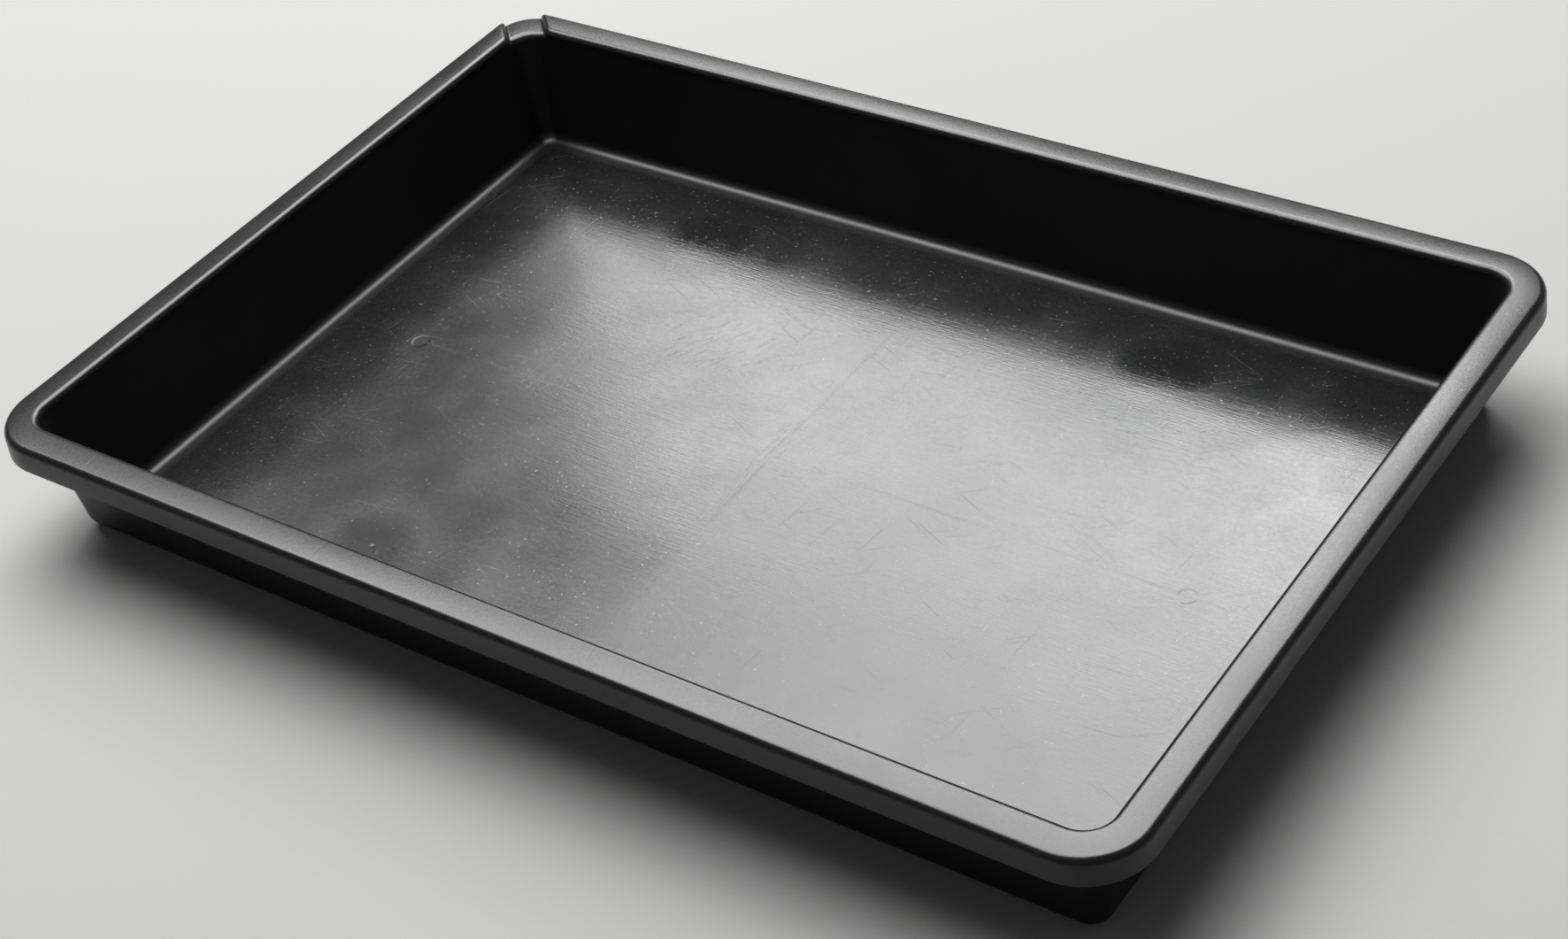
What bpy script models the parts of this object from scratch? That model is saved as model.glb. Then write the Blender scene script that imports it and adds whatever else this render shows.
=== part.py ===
"""Flat-bottomed paint tray, moulded in one piece: floor, leaning walls, flat rim, turned-down skirt
and a pouring spout pressed into one corner.

Frame: X runs along the long side, Y along the short side, +Z up. The origin is the middle of the base,
on the surface that the tray stands on. The spout is at the -X +Y corner.
"""

import math

import bmesh
import bpy
from mathutils import Vector

MM = 0.001

# Overall size
LENGTH = 600 * MM
WIDTH = 410 * MM
WALL = 2.2 * MM
INSIDE_DEPTH = 64 * MM
HEIGHT = INSIDE_DEPTH + WALL

# Rim and skirt
RIM_WIDTH = 16.5 * MM
SKIRT_DEPTH = 13 * MM
SKIRT_FLARE = 0.6 * MM
RIM_OUTER_ROUND = 3.2 * MM
RIM_INNER_ROUND = 3.6 * MM

# Walls and floor
WALL_LEAN = 8.8 * MM
FLOOR_FILLET = 6 * MM

# Corner radii in plan, from the rim's outside to the floor
RIM_CORNER = 30 * MM
INNER_CORNER = RIM_CORNER - RIM_WIDTH
WALL_FOOT_CORNER = 8 * MM
FLOOR_CORNER = 4 * MM

# Spout: a shallow channel along the corner's diagonal, with a tighter outside corner as its lip
SPOUT_CORNER = 20 * MM
SPOUT_DROP = 3 * MM
SPOUT_FLOOR_WIDTH = 18 * MM
SPOUT_FOOT_ROUND = 1.2 * MM
SPOUT_CREST_ROUND = 2.6 * MM

# Gate recesses under the floor, one for each point where the plastic entered the mould
GATE_SPACING = 268 * MM
GATE_RADIUS = 4 * MM
GATE_DEPTH = 0.6 * MM

# Fineness of the facets
PROFILE_STEPS = 4
CORNER_STEPS = 8
SPOUT_ROUND_STEPS = 3
GATE_SIDES = 24

PLASTIC_COLOUR = (0.012, 0.012, 0.013, 1.0)
PLASTIC_ROUGHNESS = 0.32


def clear_scene():
    """Remove every object that is already in the file."""
    for old in list(bpy.data.objects):
        bpy.data.objects.remove(old, do_unlink=True)


def new_collection(name):
    """Make a collection under the scene."""
    made = bpy.data.collections.new(name)
    bpy.context.scene.collection.children.link(made)
    return made


def plastic_material():
    """Black satin plastic."""
    material = bpy.data.materials.new("black_plastic")
    material.use_nodes = True
    shader = material.node_tree.nodes["Principled BSDF"]
    shader.inputs["Base Color"].default_value = PLASTIC_COLOUR
    shader.inputs["Roughness"].default_value = PLASTIC_ROUGHNESS
    shader.inputs["Metallic"].default_value = 0.0
    return material


def fillet(before, corner, after, radius, steps):
    """Points of the arc that rounds one corner of a flat outline."""
    corner = Vector(corner)
    arriving = (Vector(before) - corner).normalized()
    leaving = (Vector(after) - corner).normalized()
    half_angle = arriving.angle(leaving) / 2
    centre = corner + (arriving + leaving).normalized() * radius / math.sin(half_angle)
    start = corner + arriving * radius / math.tan(half_angle) - centre
    end = corner + leaving * radius / math.tan(half_angle) - centre
    sweep = start.angle(end)
    arc = []
    for step in range(steps + 1):
        part = step / steps
        spoke = start * math.sin((1 - part) * sweep) + end * math.sin(part * sweep)
        arc.append(centre + spoke / math.sin(sweep))
    return arc


def section_profile():
    """Inset from the rim's outside and height, from the skirt's edge over the rim to the floor."""
    skirt_edge = (-SKIRT_FLARE, HEIGHT - SKIRT_DEPTH)
    rim_outside = (0, HEIGHT)
    rim_inside = (RIM_WIDTH, HEIGHT)
    wall_foot = (RIM_WIDTH + WALL_LEAN, WALL)
    floor = (RIM_WIDTH + WALL_LEAN + 2 * FLOOR_FILLET, WALL)
    profile = [Vector(skirt_edge)]
    profile += fillet(skirt_edge, rim_outside, rim_inside, RIM_OUTER_ROUND, PROFILE_STEPS)
    profile += fillet(rim_outside, rim_inside, wall_foot, RIM_INNER_ROUND, PROFILE_STEPS)
    profile += fillet(rim_inside, wall_foot, floor, FLOOR_FILLET, PROFILE_STEPS)
    return profile


def corner_radius(inset, rim_corner):
    """Corner radius in plan of the section at this inset."""
    foot = RIM_WIDTH + WALL_LEAN
    stations = (
        (-SKIRT_FLARE, rim_corner + SKIRT_FLARE),
        (0, rim_corner),
        (RIM_WIDTH, INNER_CORNER),
        (foot, WALL_FOOT_CORNER),
        (foot + FLOOR_FILLET, FLOOR_CORNER),
    )
    for (near, near_radius), (far, far_radius) in zip(stations, stations[1:]):
        if inset <= far:
            return near_radius + (far_radius - near_radius) * (inset - near) / (far - near)
    return FLOOR_CORNER


def spout_columns():
    """Distances across the spout, from one side to the other, and how far the rim drops at each."""
    rounds = SPOUT_FOOT_ROUND + SPOUT_CREST_ROUND
    slope = math.acos(1 - SPOUT_DROP / rounds)
    half_floor = SPOUT_FLOOR_WIDTH / 2
    half_top = half_floor + rounds * math.sin(slope)
    half = [(0, SPOUT_DROP), (half_floor / 2, SPOUT_DROP)]
    for step in range(SPOUT_ROUND_STEPS + 1):
        angle = slope * step / SPOUT_ROUND_STEPS
        across = half_floor + SPOUT_FOOT_ROUND * math.sin(angle)
        half.append((across, SPOUT_DROP - SPOUT_FOOT_ROUND * (1 - math.cos(angle))))
    for step in range(1, SPOUT_ROUND_STEPS + 2):
        angle = slope * (1 - step / (SPOUT_ROUND_STEPS + 1))
        across = half_top - SPOUT_CREST_ROUND * math.sin(angle)
        half.append((across, SPOUT_CREST_ROUND * (1 - math.cos(angle))))
    half.append((SPOUT_CORNER / math.sqrt(2), 0))
    mirrored = [(-across, drop) for across, drop in reversed(half[1:])]
    return mirrored + half


def plain_corner_points(inset, side_x, side_y):
    """Plan points of one plain rounded corner, anticlockwise."""
    radius = corner_radius(inset, RIM_CORNER)
    centre_x = side_x * (LENGTH / 2 - inset - radius)
    centre_y = side_y * (WIDTH / 2 - inset - radius)
    first = math.atan2(side_y, side_x) - math.pi / 4
    for step in range(CORNER_STEPS + 1):
        angle = first + math.pi / 2 * step / CORNER_STEPS
        yield centre_x + radius * math.cos(angle), centre_y + radius * math.sin(angle), 0


def spout_corner_points(inset):
    """Plan points of the spout's corner and the drop at each, anticlockwise."""
    radius = corner_radius(inset, SPOUT_CORNER)
    diagonal = 1 / math.sqrt(2)
    for across, drop in reversed(spout_columns()):
        if abs(across) <= radius * diagonal:
            outward = math.sqrt(radius ** 2 - across ** 2) - radius / diagonal
        else:
            outward = -abs(across)
        x = inset - LENGTH / 2 + (across - outward) * diagonal
        y = WIDTH / 2 - inset + (across + outward) * diagonal
        yield x, y, drop


def section_points(inset, height):
    """One closed section of the tray. The rim and what curves from it drop at the spout."""
    is_rim = height > HEIGHT - max(RIM_OUTER_ROUND, RIM_INNER_ROUND) - WALL / 2
    plan = list(plain_corner_points(inset, 1, 1))
    plan += spout_corner_points(inset)
    plan += plain_corner_points(inset, -1, -1)
    plan += plain_corner_points(inset, 1, -1)
    return [(x, y, height - (drop if is_rim else 0)) for x, y, drop in plan]


def tray_surface():
    """The tray's upper surface as an open mesh, lofted from the skirt's edge in to the floor."""
    bm = bmesh.new()
    outer = None
    for inset, height in section_profile():
        section = [bm.verts.new(point) for point in section_points(inset, height)]
        if outer:
            for index in range(len(section)):
                bm.faces.new((outer[index - 1], outer[index], section[index], section[index - 1]))
        outer = section
    bm.faces.new(outer)
    mesh = bpy.data.meshes.new("tray")
    bm.to_mesh(mesh)
    bm.free()
    return mesh


def add_tray(parts):
    """The whole moulding: its upper surface thickened downwards and outwards by the wall."""
    tray = bpy.data.objects.new("tray", tray_surface())
    parts.objects.link(tray)
    tray.data.materials.append(plastic_material())
    wall = tray.modifiers.new("wall", "SOLIDIFY")
    wall.thickness = WALL
    wall.offset = -1
    wall.use_even_offset = True
    tray.data.shade_smooth()
    return tray


def cut_gate_recess(tray, cutters, name, x, y):
    """Cut one shallow round recess up into the base."""
    bm = bmesh.new()
    bmesh.ops.create_cone(
        bm, cap_ends=True, segments=GATE_SIDES,
        radius1=GATE_RADIUS, radius2=GATE_RADIUS, depth=2 * GATE_DEPTH,
    )
    mesh = bpy.data.meshes.new(name)
    bm.to_mesh(mesh)
    bm.free()
    cutter = bpy.data.objects.new(name, mesh)
    cutter.location = (x, y, 0)
    cutter.hide_render = True
    cutter.display_type = "WIRE"
    cutters.objects.link(cutter)
    recess = tray.modifiers.new(name, "BOOLEAN")
    recess.operation = "DIFFERENCE"
    recess.solver = "EXACT"
    recess.object = cutter


def even_shading(tray):
    """Shade the flat faces flat and the rounds smooth, by weighting normals with face area."""
    shading = tray.modifiers.new("shading", "WEIGHTED_NORMAL")
    shading.keep_sharp = True


def main():
    clear_scene()
    parts = new_collection("paint_tray")
    cutters = new_collection("cutters")
    tray = add_tray(parts)
    gate_offset = GATE_SPACING / 2
    for column, x in (("left", -gate_offset), ("right", gate_offset)):
        for row, y in (("front", -gate_offset), ("back", gate_offset)):
            cut_gate_recess(tray, cutters, "gate_{}_{}".format(row, column), x, y)
    even_shading(tray)


main()
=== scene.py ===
"""Looks of the moulded paint tray: a fine mesh that stands for the CAD solid, worn black satin plastic,
a pale floor and soft studio light.

Frame: X along the long side, Y along the short side, +Z up, origin in the middle of the base. The spout is
at the -X +Y corner. Lengths are in metres.
"""

import math

import bmesh
import bpy
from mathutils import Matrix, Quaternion, Vector


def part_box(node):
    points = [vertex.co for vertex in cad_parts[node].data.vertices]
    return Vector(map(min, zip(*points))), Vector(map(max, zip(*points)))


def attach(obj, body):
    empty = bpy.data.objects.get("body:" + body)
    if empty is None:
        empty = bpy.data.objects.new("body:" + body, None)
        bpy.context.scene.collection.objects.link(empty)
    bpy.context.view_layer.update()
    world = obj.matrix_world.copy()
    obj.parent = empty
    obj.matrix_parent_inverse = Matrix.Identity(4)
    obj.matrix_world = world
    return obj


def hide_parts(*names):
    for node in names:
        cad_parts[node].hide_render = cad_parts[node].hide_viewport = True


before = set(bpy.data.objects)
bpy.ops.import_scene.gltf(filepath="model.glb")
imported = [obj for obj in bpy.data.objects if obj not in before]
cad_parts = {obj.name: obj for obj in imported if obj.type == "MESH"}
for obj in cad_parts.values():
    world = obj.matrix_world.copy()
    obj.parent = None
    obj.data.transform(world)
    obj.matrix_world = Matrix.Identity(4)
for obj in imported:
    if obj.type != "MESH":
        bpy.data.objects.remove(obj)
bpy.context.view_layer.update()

MM = 0.001

# Shape, as in the CAD model
LOW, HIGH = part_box("tray")
SKIRT_FLARE = 0.6 * MM
LENGTH = HIGH.x - LOW.x - 2 * SKIRT_FLARE
WIDTH = HIGH.y - LOW.y - 2 * SKIRT_FLARE
HEIGHT = HIGH.z
WALL = 2.2 * MM
RIM_WIDTH = 16.5 * MM
SKIRT_DEPTH = 13 * MM
RIM_OUTER_ROUND = 3.2 * MM
RIM_INNER_ROUND = 3.6 * MM
WALL_LEAN = 8.8 * MM
FLOOR_FILLET = 6 * MM
RIM_CORNER = 30 * MM
INNER_CORNER = RIM_CORNER - RIM_WIDTH
WALL_FOOT_CORNER = 8 * MM
FLOOR_CORNER = 4 * MM
SPOUT_CORNER = 20 * MM
SPOUT_DROP = 3 * MM
SPOUT_FLOOR_WIDTH = 18 * MM
SPOUT_FOOT_ROUND = 1.2 * MM
SPOUT_CREST_ROUND = 2.6 * MM
GATE_OFFSET = 134 * MM

# Finer shape than the CAD model holds
EDGE_ROUND = 0.6 * MM
RECESS_RADIUS = 4 * MM
RECESS_DEPTH = 0.6 * MM
RECESS_SLOPE = 0.6 * MM
DIMPLE_RADIUS = 1.6 * MM
DIMPLE_DEPTH = 0.12 * MM
PIN_OFFSET = 217 * MM
PIN_RADIUS = 4.8 * MM
PIN_DEPTH = 0.12 * MM
PIN_EDGE = 0.7 * MM

# Warp from cooling: the rim's outside sinks and the floor rises
RIM_DROOP = 0.9 * MM
FLOOR_CROWN = 1.2 * MM
FLOOR_CROWN_FADE = 110 * MM
GATE_MOUND = 0.5 * MM
GATE_MOUND_RADIUS = 17 * MM
KNIT_RIDGE = 0.5 * MM
KNIT_RIDGE_FADE = 35 * MM

# Fineness of the mesh
GRID_STEP = 5 * MM
FINE_STEP = 0.6 * MM
FINE_LINES = 9
ROUND_STEPS = 10
EDGE_STEPS = 3
CORNER_STEPS = 24
SPOUT_FLAT_STEPS = 10
SPOUT_ROUND_STEPS = 6
WELD_DISTANCE = 0.01 * MM

# Black plastic. A noise is given as size, detail and roughness, and a range is where it changes most
PLASTIC_COLOUR = (0.003, 0.003, 0.0031, 1)
PLASTIC_SPECULAR = 0.35
FLOOR_ROUGHNESS = 0.20
WALL_ROUGHNESS = 0.36
RIM_ROUGHNESS = 0.28
CLOUD_NOISE = (60 * MM, 3.0, 0.55)
CLOUD_RANGE = (0.3, 0.7)
CLOUD_ROUGHNESS = 0.03
GRAIN_NOISE = (1.6 * MM, 3.0, 0.7)
GRAIN_ROUGHNESS = 0.16
GRAIN_DEPTH = 0.035 * MM
POLISH_SIZE = (14 * MM, 0.7 * MM)
POLISH_DEPTH = 0.04 * MM

# Rings of gloss round each gate: radius and change of roughness
GATE_RINGS = ((0, -0.08), (16 * MM, -0.08), (29 * MM, 0.05), (44 * MM, -0.05), (62 * MM, 0.03), (82 * MM, 0))
RING_WOBBLE = 8 * MM
RING_WOBBLE_SIZE = 45 * MM

# Patches that have been rubbed smooth: centre and half sizes. A core is the share of the size that is full
GLOSS_PATCHES = (((-140 * MM, -25 * MM), (34 * MM, 28 * MM)), ((-68 * MM, -85 * MM), (50 * MM, 42 * MM)))
PATCH_GLOSS = 0.04
PATCH_CORE = 0.2

# Scratches over the floor, and scuffs with their centre, half sizes and angle. Sizes are length and width
SCRATCH_ANGLES = (8, 38, -24, 84)
SCRATCH_SIZE = (60 * MM, 0.45 * MM)
SCRATCH_RARITY = 0.725
SCRATCH_PATCH_SIZE = 30 * MM
SCRATCH_PATCH_RANGE = (0.4, 0.6)
SCRATCH_ROUGHNESS = 0.07
SCRATCH_DEPTH = 0.015 * MM
SCUFFS = (
    ((-140 * MM, 10 * MM), (26 * MM, 34 * MM), 85),
    ((-75 * MM, 62 * MM), (48 * MM, 30 * MM), 62),
    ((-2 * MM, 4 * MM), (9 * MM, 48 * MM), 88),
    ((-190 * MM, 105 * MM), (14 * MM, 22 * MM), 75),
)
SCUFF_SIZE = (12 * MM, 0.6 * MM)
SCUFF_RARITY = 0.64
SCUFF_CORE = 0.4
LINE_SOFTNESS = 0.05
WANDER = 5 * MM
WANDER_SIZE = 250 * MM

# Each layer of scratches reads the noise at its own shift, in units of a scratch
SCRATCH_SHIFT = 7.0
SCUFF_FIRST_SHIFT = 50.0
SCUFF_SHIFT = 5.0

# Knit lines, the nick in the middle, and the marks across the rim
KNIT_WIDTH = 1.2 * MM
KNIT_FADE_NOISE = (55 * MM, 1.0)
KNIT_FADE_RANGE = (0.4, 0.65)
KNIT_FAINTEST = 0.1
SEAM_ROUGHNESS = 0.05
NICK = (3 * MM, 0)
NICK_HALF_SIZES = (0.8 * MM, 1.6 * MM)
NICK_CORE = 0.7
RIM_MARKS = (-232 * MM, -93 * MM)
RIM_MARK_WIDTH = 0.5 * MM

# Dust
DUST_COLOUR = (0.06, 0.06, 0.058, 1)
DUST_FILM = 0.11
THINNEST_FILM = 0.5
FILM_RANGE = (0.35, 0.65)
FLECK_NOISE = (1.2 * MM, 2.0, 0.7)
FLECK_RANGE = (0.35, 0.65)
SPECK_NOISE = (1.6 * MM, 1.0)
SPECK_RARITY = 0.735
SPECK_EDGE = 0.035

# Studio
FLOOR_HALF_SIZE = 6
FLOOR_CELLS = 4
FLOOR_GAP = 0.1 * MM
PALE_COLOUR = (0.24, 0.24, 0.238, 1)
DARKER_PALE_COLOUR = (0.228, 0.228, 0.226, 1)
BOARD_SPECULAR = 0.1
BOARD_ROUGHNESS = (0.8, 0.95)
BOARD_PATCH_NOISE = (400 * MM, 3.0)
BOARD_GRAIN_SIZE = 2 * MM
BOARD_GRAIN_DEPTH = 0.05 * MM
WORLD_STRENGTH = 0.2
LIGHT_DISTANCE = 2.6

# Softboxes: name, azimuth and elevation in degrees, width, height, and the radiance of the box's face
SOFTBOXES = (
    ("high", -50, 66, 2.8, 2.0, 12.5),
    ("middle", -26, 39.5, 1.5, 0.41, 13.5),
    ("side", -61, 38, 1.0, 0.36, 1.4),
    ("low", -38, 30.5, 0.67, 0.41, 8.5),
)

# Camera. The lens and sensor are in millimetres, as Blender has them
CAMERA_TARGET = Vector((0.0076, -0.002, 0.0))
CAMERA_DISTANCE = 1.313
CAMERA_AZIMUTH = math.radians(-40.17)
CAMERA_ELEVATION = math.radians(38.89)
CAMERA_ROLL = math.radians(9.42)
CAMERA_LENS = 64.8
CAMERA_SENSOR = 36
CAMERA_NEAREST = 0.05


def fillet(before, corner, after, radius, offset, steps):
    """Arc that rounds one corner of a flat outline, with its radius changed by the offset."""
    corner = Vector(corner)
    arriving = (Vector(before) - corner).normalized()
    leaving = (Vector(after) - corner).normalized()
    half_angle = arriving.angle(leaving) / 2
    centre = corner + (arriving + leaving).normalized() * radius / math.sin(half_angle)
    start = corner + arriving * radius / math.tan(half_angle) - centre
    end = corner + leaving * radius / math.tan(half_angle) - centre
    sweep = start.angle(end)
    arc = []
    for step in range(steps + 1):
        part = step / steps
        spoke = start * math.sin((1 - part) * sweep) + end * math.sin(part * sweep)
        arc.append(centre + spoke * (1 + offset / radius) / math.sin(sweep))
    return arc


def sheet_profile(depth):
    """Inset and height from the skirt over the rim to the floor, at this depth in the wall."""
    skirt_edge = (-SKIRT_FLARE, HEIGHT - SKIRT_DEPTH)
    rim_outside = (0, HEIGHT)
    rim_inside = (RIM_WIDTH, HEIGHT)
    wall_foot = (RIM_WIDTH + WALL_LEAN, WALL)
    floor = (RIM_WIDTH + WALL_LEAN + 2 * FLOOR_FILLET, WALL)
    profile = fillet(skirt_edge, rim_outside, rim_inside, RIM_OUTER_ROUND, -depth, ROUND_STEPS)
    profile += fillet(rim_outside, rim_inside, wall_foot, RIM_INNER_ROUND, -depth, ROUND_STEPS)
    profile += fillet(rim_inside, wall_foot, floor, FLOOR_FILLET, depth, ROUND_STEPS)
    profile.append(Vector(floor) - Vector((0, depth)))
    return profile


def section_profile():
    """The whole section of the wall: from the floor up over the rim, round the skirt's edge and back."""
    upper = sheet_profile(0)
    lower = sheet_profile(WALL)
    outside = Vector((-SKIRT_FLARE, HEIGHT - SKIRT_DEPTH))
    inside = outside + Vector((WALL, 0))
    edge = fillet(upper[0], outside, inside, EDGE_ROUND, 0, EDGE_STEPS)
    edge += fillet(outside, inside, lower[0], EDGE_ROUND, 0, EDGE_STEPS)
    return list(reversed(upper)) + edge + lower


def corner_radius(inset, rim_corner):
    """Corner radius in plan of the section at this inset."""
    foot = RIM_WIDTH + WALL_LEAN
    stations = (
        (-SKIRT_FLARE, rim_corner + SKIRT_FLARE),
        (0, rim_corner),
        (RIM_WIDTH, INNER_CORNER),
        (foot, WALL_FOOT_CORNER),
        (foot + FLOOR_FILLET, FLOOR_CORNER),
        (foot + 2 * FLOOR_FILLET, 0),
    )
    for (near, near_radius), (far, far_radius) in zip(stations, stations[1:]):
        if inset < far:
            return near_radius + (far_radius - near_radius) * (inset - near) / (far - near)
    return 0


def spout_columns():
    """Distances across the spout, from one side to the other, and how far the rim drops at each."""
    rounds = SPOUT_FOOT_ROUND + SPOUT_CREST_ROUND
    slope = math.acos(1 - SPOUT_DROP / rounds)
    half_floor = SPOUT_FLOOR_WIDTH / 2
    half_top = half_floor + rounds * math.sin(slope)
    half = [(half_floor * step / SPOUT_FLAT_STEPS, SPOUT_DROP) for step in range(SPOUT_FLAT_STEPS)]
    for step in range(SPOUT_ROUND_STEPS):
        angle = slope * step / SPOUT_ROUND_STEPS
        across = half_floor + SPOUT_FOOT_ROUND * math.sin(angle)
        half.append((across, SPOUT_DROP - SPOUT_FOOT_ROUND * (1 - math.cos(angle))))
    for step in range(SPOUT_ROUND_STEPS + 1):
        angle = slope * (1 - step / SPOUT_ROUND_STEPS)
        across = half_top - SPOUT_CREST_ROUND * math.sin(angle)
        half.append((across, SPOUT_CREST_ROUND * (1 - math.cos(angle))))
    half.append((SPOUT_CORNER / math.sqrt(2), 0))
    return [(-across, drop) for across, drop in reversed(half[1:])] + half


def plain_corner(inset, side_x, side_y):
    """Plan points of one plain rounded corner, anticlockwise, with no drop."""
    radius = corner_radius(inset, RIM_CORNER)
    centre_x = side_x * (LENGTH / 2 - inset - radius)
    centre_y = side_y * (WIDTH / 2 - inset - radius)
    first = math.atan2(side_y, side_x) - math.pi / 4
    points = []
    for step in range(CORNER_STEPS + 1):
        angle = first + math.pi / 2 * step / CORNER_STEPS
        points.append((centre_x + radius * math.cos(angle), centre_y + radius * math.sin(angle), 0))
    return points


def spout_corner(inset):
    """Plan points of the spout's corner and the drop at each, anticlockwise."""
    radius = corner_radius(inset, SPOUT_CORNER)
    diagonal = 1 / math.sqrt(2)
    down_wall = min(max((inset - RIM_WIDTH) / WALL_LEAN, 0), 1)
    narrowing = 1 + (radius / SPOUT_CORNER - 1) * down_wall
    points = []
    for across, drop in reversed(spout_columns()):
        across *= narrowing
        if abs(across) < radius * diagonal:
            outward = math.sqrt(radius ** 2 - across ** 2) - radius / diagonal
        else:
            outward = -abs(across)
        x = inset - LENGTH / 2 + (across - outward) * diagonal
        y = WIDTH / 2 - inset + (across + outward) * diagonal
        points.append((x, y, drop))
    return points


def grid_shares(length, details):
    """Where the lines of the floor's grid cross one side, as shares of it. They crowd at the details."""
    count = round(length / GRID_STEP)
    middles = [0.5 + place / length for place in details]
    margin = FINE_STEP * (FINE_LINES + 1) / length
    shares = []
    for line in range(1, count):
        share = line / count
        if min(abs(share - middle) for middle in middles) > margin:
            shares.append(share)
    for middle in middles:
        shares += [middle + FINE_STEP * line / length for line in range(-FINE_LINES, FINE_LINES + 1)]
    return sorted(shares)


def floor_inset():
    """Inset of the rectangle where the lofted walls meet the floor's grid."""
    return RIM_WIDTH + WALL_LEAN + 2 * FLOOR_FILLET


def section_points(inset, height, shares_x, shares_y):
    """One closed section of the tray. The rim and what curves from it drop at the spout."""
    is_rim = height > HEIGHT - max(RIM_OUTER_ROUND, RIM_INNER_ROUND) - WALL / 2
    height -= RIM_DROOP * min(max(1 - inset / RIM_WIDTH, 0), 1) ** 2
    corners = (
        plain_corner(inset, 1, 1),
        spout_corner(inset),
        plain_corner(inset, -1, -1),
        plain_corner(inset, 1, -1),
    )
    points = []
    for index, corner in enumerate(corners):
        points += [(x, y, height - (drop if is_rim else 0)) for x, y, drop in corner]
        start = corner[-1]
        end = corners[(index + 1) % 4][0]
        for share in (shares_x, shares_y)[index % 2]:
            x = start[0] + (end[0] - start[0]) * share
            y = start[1] + (end[1] - start[1]) * share
            points.append((x, y, height))
    return points


def smooth_step(low, high, value):
    """0 below low, 1 above high, and an S-curve between."""
    part = min(max((value - low) / (high - low), 0), 1)
    return part * part * (3 - 2 * part)


def gate_distance(x, y):
    """Distance to the nearest point where the plastic entered the mould."""
    return math.hypot(abs(x) - GATE_OFFSET, abs(y) - GATE_OFFSET)


def floor_warp(x, y):
    """How far the floor has risen, most at the gates and where the flows met. It is flat along the walls."""
    half_x = LENGTH / 2 - floor_inset()
    half_y = WIDTH / 2 - floor_inset()
    edge = min(half_x - abs(x), half_y - abs(y))
    mound = GATE_MOUND * math.exp(-(gate_distance(x, y) / GATE_MOUND_RADIUS) ** 2)
    ridge = KNIT_RIDGE * math.exp(-abs(x) / KNIT_RIDGE_FADE)
    return (FLOOR_CROWN + mound + ridge) * smooth_step(0, FLOOR_CROWN_FADE, edge)


def floor_height(x, y):
    """Height of the inside floor, with a dimple at each gate and a print of each ejector pin."""
    dimple = DIMPLE_DEPTH * math.exp(-(gate_distance(x, y) / DIMPLE_RADIUS) ** 2)
    pin = 1 - smooth_step(PIN_RADIUS - PIN_EDGE, PIN_RADIUS, math.hypot(abs(x) - PIN_OFFSET, y))
    return WALL + floor_warp(x, y) - dimple - PIN_DEPTH * pin


def base_height(x, y):
    """Height of the underside, with a recess under each gate."""
    recess = 1 - smooth_step(RECESS_RADIUS - RECESS_SLOPE, RECESS_RADIUS, gate_distance(x, y))
    return floor_warp(x, y) + RECESS_DEPTH * recess


def add_grid(bm, height_at, shares_x, shares_y, upwards):
    """Fill the middle of the floor or the base with a grid."""
    half_x = LENGTH / 2 - floor_inset()
    half_y = WIDTH / 2 - floor_inset()
    xs = [half_x * (2 * share - 1) for share in [0] + shares_x + [1]]
    ys = [half_y * (2 * share - 1) for share in [0] + shares_y + [1]]
    rows = [[bm.verts.new((x, y, height_at(x, y))) for x in xs] for y in ys]
    for near, far in zip(rows, rows[1:]):
        for column in range(len(xs) - 1):
            face = [near[column], near[column + 1], far[column + 1], far[column]]
            bm.faces.new(face if upwards else reversed(face))


def tray_mesh():
    """The whole moulding as one closed mesh."""
    shares_x = grid_shares(LENGTH - 2 * floor_inset(), (-PIN_OFFSET, -GATE_OFFSET, GATE_OFFSET, PIN_OFFSET))
    shares_y = grid_shares(WIDTH - 2 * floor_inset(), (-GATE_OFFSET, 0, GATE_OFFSET))
    bm = bmesh.new()
    previous = None
    for inset, height in section_profile():
        section = [bm.verts.new(point) for point in section_points(inset, height, shares_x, shares_y)]
        if previous:
            for index in range(len(section)):
                bm.faces.new((previous[index], previous[index - 1], section[index - 1], section[index]))
        previous = section
    add_grid(bm, floor_height, shares_x, shares_y, True)
    add_grid(bm, base_height, shares_x, shares_y, False)
    bmesh.ops.remove_doubles(bm, verts=bm.verts, dist=WELD_DISTANCE)
    bmesh.ops.recalc_face_normals(bm, faces=bm.faces)
    mesh = bpy.data.meshes.new("moulded_tray")
    bm.to_mesh(mesh)
    bm.free()
    return mesh


def feed(tree, socket, value):
    """Link a value into a socket, or set the socket to a plain number or colour."""
    if isinstance(value, bpy.types.NodeSocket):
        tree.links.new(value, socket)
    else:
        socket.default_value = value


def add_node(tree, kind, inputs=(), **settings):
    """Add a shader node. Each of its inputs gets a value or a link, by name or by place."""
    made = tree.nodes.new("ShaderNode" + kind)
    for name, value in settings.items():
        setattr(made, name, value)
    for name, value in dict(inputs).items():
        feed(tree, made.inputs[name], value)
    return made


def calculate(tree, operation, *values, clamp=False):
    """One step of arithmetic."""
    return add_node(tree, "Math", enumerate(values), operation=operation, use_clamp=clamp).outputs[0]


def strongest(tree, layers):
    """The largest of several values."""
    result = layers[0]
    for layer in layers[1:]:
        result = calculate(tree, "MAXIMUM", result, layer)
    return result


def remap(tree, value, low, high, new_low, new_high):
    """Carry a value smoothly from one range to another, and stop at its ends."""
    inputs = {"Value": value, "From Min": low, "From Max": high, "To Min": new_low, "To Max": new_high}
    return add_node(tree, "MapRange", inputs, interpolation_type="SMOOTHSTEP").outputs["Result"]


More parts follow.
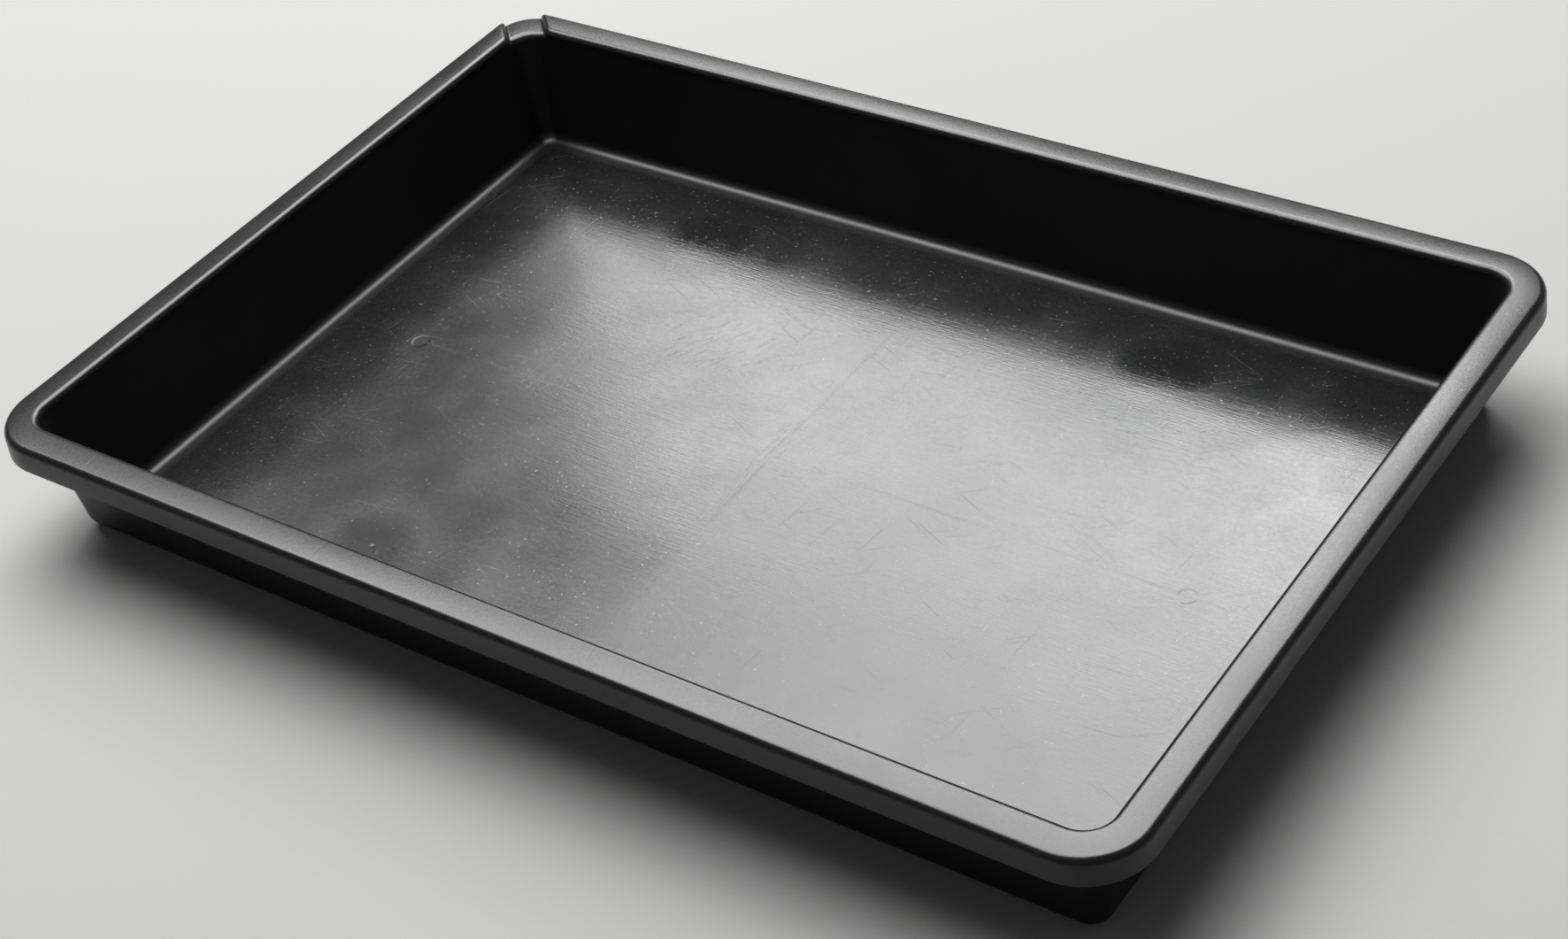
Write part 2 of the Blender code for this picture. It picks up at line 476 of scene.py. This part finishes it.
def mix_colours(tree, part, first, second):
    """The first colour where part is 0 and the second where it is 1."""
    inputs = {"Factor": part, "A": first, "B": second}
    mixer = tree.nodes.new("ShaderNodeMix")
    mixer.data_type = "RGBA"
    for socket in mixer.inputs:
        if socket.enabled and socket.name in inputs:
            feed(tree, socket, inputs[socket.name])
    return next(socket for socket in mixer.outputs if socket.enabled)


def noise(tree, place, size, detail=2.0, roughness=0.5):
    """Noise whose lumps are about this size, from 0 to 1 and mostly near 0.5."""
    inputs = {"Vector": place, "Scale": 1 / size, "Detail": detail, "Roughness": roughness}
    return add_node(tree, "TexNoise", inputs).outputs["Fac"]


def stretched(tree, place, angle, size, shift=0.0):
    """Coordinates in which marks run at this angle in the floor's plane, in units of their own size."""
    along, across = size
    turned = add_node(tree, "Mapping", {"Vector": place, "Rotation": (0, 0, -math.radians(angle))})
    sized = {
        "Vector": turned.outputs[0],
        "Scale": (1 / along, 1 / across, 1 / along),
        "Location": (shift, shift, shift),
    }
    return add_node(tree, "Mapping", sized).outputs[0]


def ellipse(tree, place, centre, half_sizes, core):
    """1 in the core of an ellipse in the floor's plane, fading to 0 at its edge."""
    inputs = {
        "Vector": place,
        "Location": (-centre[0] / half_sizes[0], -centre[1] / half_sizes[1], 0),
        "Scale": (1 / half_sizes[0], 1 / half_sizes[1], 0),
    }
    moved = add_node(tree, "Mapping", inputs)
    away = add_node(tree, "VectorMath", {0: moved.outputs[0]}, operation="LENGTH").outputs["Value"]
    return remap(tree, away, core, 1.0, 1, 0)


def stripe(tree, distance, half_width):
    """1 on a line and 0 beside it."""
    return remap(tree, calculate(tree, "ABSOLUTE", distance), half_width / 2, half_width, 1, 0)


def bump(tree, height, distance, below=None):
    """Relief of this depth, on top of the relief below it."""
    inputs = {"Height": height, "Distance": distance}
    if below:
        inputs["Normal"] = below
    return add_node(tree, "Bump", inputs).outputs[0]


def floor_mask(tree, axes):
    """1 on the flat of the floor, inside and below, and 0 on the walls and the rim."""
    past_x = calculate(tree, "SUBTRACT", calculate(tree, "ABSOLUTE", axes[0]), LENGTH / 2 - floor_inset())
    past_y = calculate(tree, "SUBTRACT", calculate(tree, "ABSOLUTE", axes[1]), WIDTH / 2 - floor_inset())
    return remap(tree, calculate(tree, "MAXIMUM", past_x, past_y), 0, FLOOR_FILLET, 1, 0)


def gate_gloss(tree, place, axes):
    """Roughness change in rings round the gates, where the plastic swept the mould as it flowed in."""
    from_middle = [calculate(tree, "ABSOLUTE", axis) for axis in axes[:2]]
    from_gate = [calculate(tree, "SUBTRACT", distance, GATE_OFFSET) for distance in from_middle]
    flat = add_node(tree, "CombineXYZ", enumerate(from_gate))
    away = add_node(tree, "VectorMath", {0: flat.outputs[0]}, operation="LENGTH").outputs["Value"]
    centred = calculate(tree, "SUBTRACT", noise(tree, place, RING_WOBBLE_SIZE), 0.5)
    away = calculate(tree, "MULTIPLY_ADD", centred, 2 * RING_WOBBLE, away)
    reach = GATE_RINGS[-1][0]
    ramp = add_node(tree, "ValToRGB", {0: calculate(tree, "DIVIDE", away, reach)})
    ramp.color_ramp.interpolation = "B_SPLINE"
    stops = ramp.color_ramp.elements
    stops.remove(stops[1])
    for index, (radius, change) in enumerate(GATE_RINGS):
        stop = stops.new(radius / reach) if index else stops[0]
        stop.color = (0.5 + change, 0.5 + change, 0.5 + change, 1)
    return calculate(tree, "SUBTRACT", ramp.outputs[0], 0.5)


def hairlines(tree, place, angle, size, rarity, shift):
    """Fine scratches that run roughly at one angle: 1 on a scratch and 0 beside it."""
    inputs = {"Vector": place, "Scale": 1 / WANDER_SIZE, "Detail": 0.0}
    wander = add_node(tree, "TexNoise", inputs).outputs["Color"]
    inputs = {0: wander, 1: (WANDER, WANDER, WANDER), 2: place}
    bent = add_node(tree, "VectorMath", inputs, operation="MULTIPLY_ADD").outputs[0]
    lines = noise(tree, stretched(tree, bent, angle, size, shift), 1.0, 1.0)
    return remap(tree, lines, rarity, rarity + LINE_SOFTNESS, 0, 1)


def scratches(tree, place):
    """Hairlines in patches all over, and denser scuffs where tools have rubbed."""
    patches = remap(tree, noise(tree, place, SCRATCH_PATCH_SIZE), *SCRATCH_PATCH_RANGE, 0, 1)
    layers = []
    for index, angle in enumerate(SCRATCH_ANGLES):
        lines = hairlines(tree, place, angle, SCRATCH_SIZE, SCRATCH_RARITY, SCRATCH_SHIFT * index)
        layers.append(calculate(tree, "MULTIPLY", lines, patches))
    for index, (centre, half_sizes, angle) in enumerate(SCUFFS):
        shift = SCUFF_FIRST_SHIFT + SCUFF_SHIFT * index
        lines = hairlines(tree, place, angle, SCUFF_SIZE, SCUFF_RARITY, shift)
        inside = ellipse(tree, place, centre, half_sizes, SCUFF_CORE)
        layers.append(calculate(tree, "MULTIPLY", lines, inside))
    return strongest(tree, layers)


def knit_lines(tree, place, axes):
    """Fine lines where the flows from the gates met, fading in and out, and the nick in the middle."""
    fade = remap(tree, noise(tree, place, *KNIT_FADE_NOISE), *KNIT_FADE_RANGE, KNIT_FAINTEST, 1)
    lines = strongest(tree, [stripe(tree, axis, KNIT_WIDTH) for axis in axes[:2]])
    nick = ellipse(tree, place, NICK, NICK_HALF_SIZES, NICK_CORE)
    return calculate(tree, "MAXIMUM", calculate(tree, "MULTIPLY", lines, fade), nick)


def rim_marks(tree, axes):
    """Hairline joints of the mould's inserts, across the rims of the long sides."""
    on_rim = calculate(tree, "GREATER_THAN", calculate(tree, "ABSOLUTE", axes[1]), WIDTH / 2 - RIM_WIDTH)
    lines = [stripe(tree, calculate(tree, "SUBTRACT", axes[0], x), RIM_MARK_WIDTH) for x in RIM_MARKS]
    return calculate(tree, "MULTIPLY", strongest(tree, lines), on_rim)


def plastic_roughness(tree, place, axes, on_floor, clouds, grain, marks, seams):
    """Satin on the walls, glossier on the rim and the floor, uneven, and duller on every scratch."""
    rough = remap(
        tree, axes[2], HEIGHT - 2 * RIM_INNER_ROUND, HEIGHT - RIM_INNER_ROUND, WALL_ROUGHNESS, RIM_ROUGHNESS
    )
    rough = remap(tree, on_floor, 0, 1, rough, FLOOR_ROUGHNESS)
    uneven = remap(tree, clouds, *CLOUD_RANGE, -CLOUD_ROUGHNESS, CLOUD_ROUGHNESS)
    rough = calculate(tree, "ADD", rough, uneven)
    rough = calculate(tree, "MULTIPLY_ADD", gate_gloss(tree, place, axes), on_floor, rough)
    for centre, half_sizes in GLOSS_PATCHES:
        inside = ellipse(tree, place, centre, half_sizes, PATCH_CORE)
        inside = calculate(tree, "MULTIPLY", inside, on_floor)
        rough = calculate(tree, "MULTIPLY_ADD", inside, -PATCH_GLOSS, rough)
    rough = calculate(tree, "MULTIPLY_ADD", calculate(tree, "SUBTRACT", grain, 0.5), GRAIN_ROUGHNESS, rough)
    rough = calculate(tree, "MULTIPLY_ADD", marks, SCRATCH_ROUGHNESS, rough)
    return calculate(tree, "MULTIPLY_ADD", seams, SEAM_ROUGHNESS, rough)


def plastic_colour(tree, place, on_floor, clouds):
    """Black, with a thin uneven film of dust and a few specks of it on the floor."""
    film = remap(tree, clouds, *FILM_RANGE, THINNEST_FILM, 1)
    flecks = remap(tree, noise(tree, place, *FLECK_NOISE), *FLECK_RANGE, 0, 1)
    film = calculate(tree, "MULTIPLY", film, flecks)
    specks = remap(tree, noise(tree, place, *SPECK_NOISE), SPECK_RARITY, SPECK_RARITY + SPECK_EDGE, 0, 1)
    dust = calculate(tree, "MULTIPLY_ADD", film, DUST_FILM, specks, clamp=True)
    dust = calculate(tree, "MULTIPLY", dust, on_floor)
    return mix_colours(tree, dust, PLASTIC_COLOUR, DUST_COLOUR)


def plastic():
    """Black satin plastic: glossier on the floor, scratched and dusty from use."""
    material = bpy.data.materials.new("black_satin_plastic")
    material.use_nodes = True
    tree = material.node_tree
    shader = tree.nodes["Principled BSDF"]
    shader.inputs["Specular IOR Level"].default_value = PLASTIC_SPECULAR
    place = add_node(tree, "TexCoord").outputs["Object"]
    axes = add_node(tree, "SeparateXYZ", {0: place}).outputs
    on_floor = floor_mask(tree, axes)
    clouds = noise(tree, place, *CLOUD_NOISE)
    grain = noise(tree, place, *GRAIN_NOISE)
    marks = calculate(tree, "MULTIPLY", scratches(tree, place), on_floor)
    seams = calculate(tree, "MULTIPLY", knit_lines(tree, place, axes), on_floor)
    rough = plastic_roughness(tree, place, axes, on_floor, clouds, grain, marks, seams)
    tree.links.new(rough, shader.inputs["Roughness"])
    tree.links.new(plastic_colour(tree, place, on_floor, clouds), shader.inputs["Base Color"])
    polish = noise(tree, stretched(tree, place, 0, POLISH_SIZE), 1.0)
    grooves = strongest(tree, [marks, seams, rim_marks(tree, axes)])
    relief = bump(tree, grain, GRAIN_DEPTH)
    relief = bump(tree, calculate(tree, "MULTIPLY", polish, on_floor), POLISH_DEPTH, relief)
    relief = bump(tree, calculate(tree, "SUBTRACT", 1, grooves), SCRATCH_DEPTH, relief)
    tree.links.new(relief, shader.inputs["Normal"])
    return material


def add_tray():
    """The visible tray, in place of the CAD solid."""
    tray = bpy.data.objects.new("moulded_tray", tray_mesh())
    bpy.context.scene.collection.objects.link(tray)
    tray.data.materials.append(plastic())
    tray.data.shade_smooth()
    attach(tray, "root")
    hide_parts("tray")


def pale_floor():
    """Matt painted board, faintly mottled."""
    material = bpy.data.materials.new("pale_floor")
    material.use_nodes = True
    tree = material.node_tree
    shader = tree.nodes["Principled BSDF"]
    shader.inputs["Specular IOR Level"].default_value = BOARD_SPECULAR
    place = add_node(tree, "TexCoord").outputs["Object"]
    patches = noise(tree, place, *BOARD_PATCH_NOISE)
    fine = noise(tree, place, BOARD_GRAIN_SIZE)
    tree.links.new(mix_colours(tree, patches, DARKER_PALE_COLOUR, PALE_COLOUR), shader.inputs["Base Color"])
    tree.links.new(remap(tree, fine, 0, 1, *BOARD_ROUGHNESS), shader.inputs["Roughness"])
    tree.links.new(bump(tree, fine, BOARD_GRAIN_DEPTH), shader.inputs["Normal"])
    return material


def add_floor():
    """A pale studio floor, just under the tray."""
    mesh = bpy.data.meshes.new("studio_floor")
    bm = bmesh.new()
    bmesh.ops.create_grid(bm, x_segments=FLOOR_CELLS, y_segments=FLOOR_CELLS, size=FLOOR_HALF_SIZE)
    bm.to_mesh(mesh)
    bm.free()
    floor = bpy.data.objects.new("studio_floor", mesh)
    floor.location.z = LOW.z - FLOOR_GAP
    bpy.context.scene.collection.objects.link(floor)
    mesh.materials.append(pale_floor())


def direction(azimuth, elevation):
    """Unit vector. Azimuth 0 is +Y and 90 is +X."""
    flat = math.cos(elevation)
    return Vector((math.sin(azimuth) * flat, math.cos(azimuth) * flat, math.sin(elevation)))


def add_softbox(name, azimuth, elevation, width, height, radiance):
    """A rectangular softbox that faces the tray."""
    light = bpy.data.lights.new(name, "AREA")
    light.shape = "RECTANGLE"
    light.size = width
    light.size_y = height
    light.energy = radiance * math.pi * width * height
    lamp = bpy.data.objects.new(name, light)
    towards = direction(math.radians(azimuth), math.radians(elevation))
    lamp.location = towards * LIGHT_DISTANCE
    lamp.rotation_euler = (-towards).to_track_quat("-Z", "Y").to_euler()
    bpy.context.scene.collection.objects.link(lamp)


def add_camera():
    """The camera: above the near side, turned a little about its own line of sight."""
    camera = bpy.data.cameras.new("camera")
    camera.lens = CAMERA_LENS
    camera.sensor_width = CAMERA_SENSOR
    camera.clip_start = CAMERA_NEAREST
    rig = bpy.data.objects.new("camera", camera)
    looking = direction(CAMERA_AZIMUTH, -CAMERA_ELEVATION)
    rig.location = CAMERA_TARGET - looking * CAMERA_DISTANCE
    rig.rotation_mode = "QUATERNION"
    rig.rotation_quaternion = Quaternion(looking, CAMERA_ROLL) @ looking.to_track_quat("-Z", "Y")
    bpy.context.scene.collection.objects.link(rig)
    bpy.context.scene.camera = rig


def add_world():
    """Even dim surroundings."""
    world = bpy.data.worlds.new("studio")
    world.use_nodes = True
    background = world.node_tree.nodes["Background"]
    background.inputs["Color"].default_value = (1, 1, 1, 1)
    background.inputs["Strength"].default_value = WORLD_STRENGTH
    bpy.context.scene.world = world


def main():
    """Build the scene round the CAD frame."""
    add_camera()
    add_world()
    add_floor()
    add_tray()
    for softbox in SOFTBOXES:
        add_softbox(*softbox)
    bpy.context.scene.view_settings.view_transform = "Standard"


main()
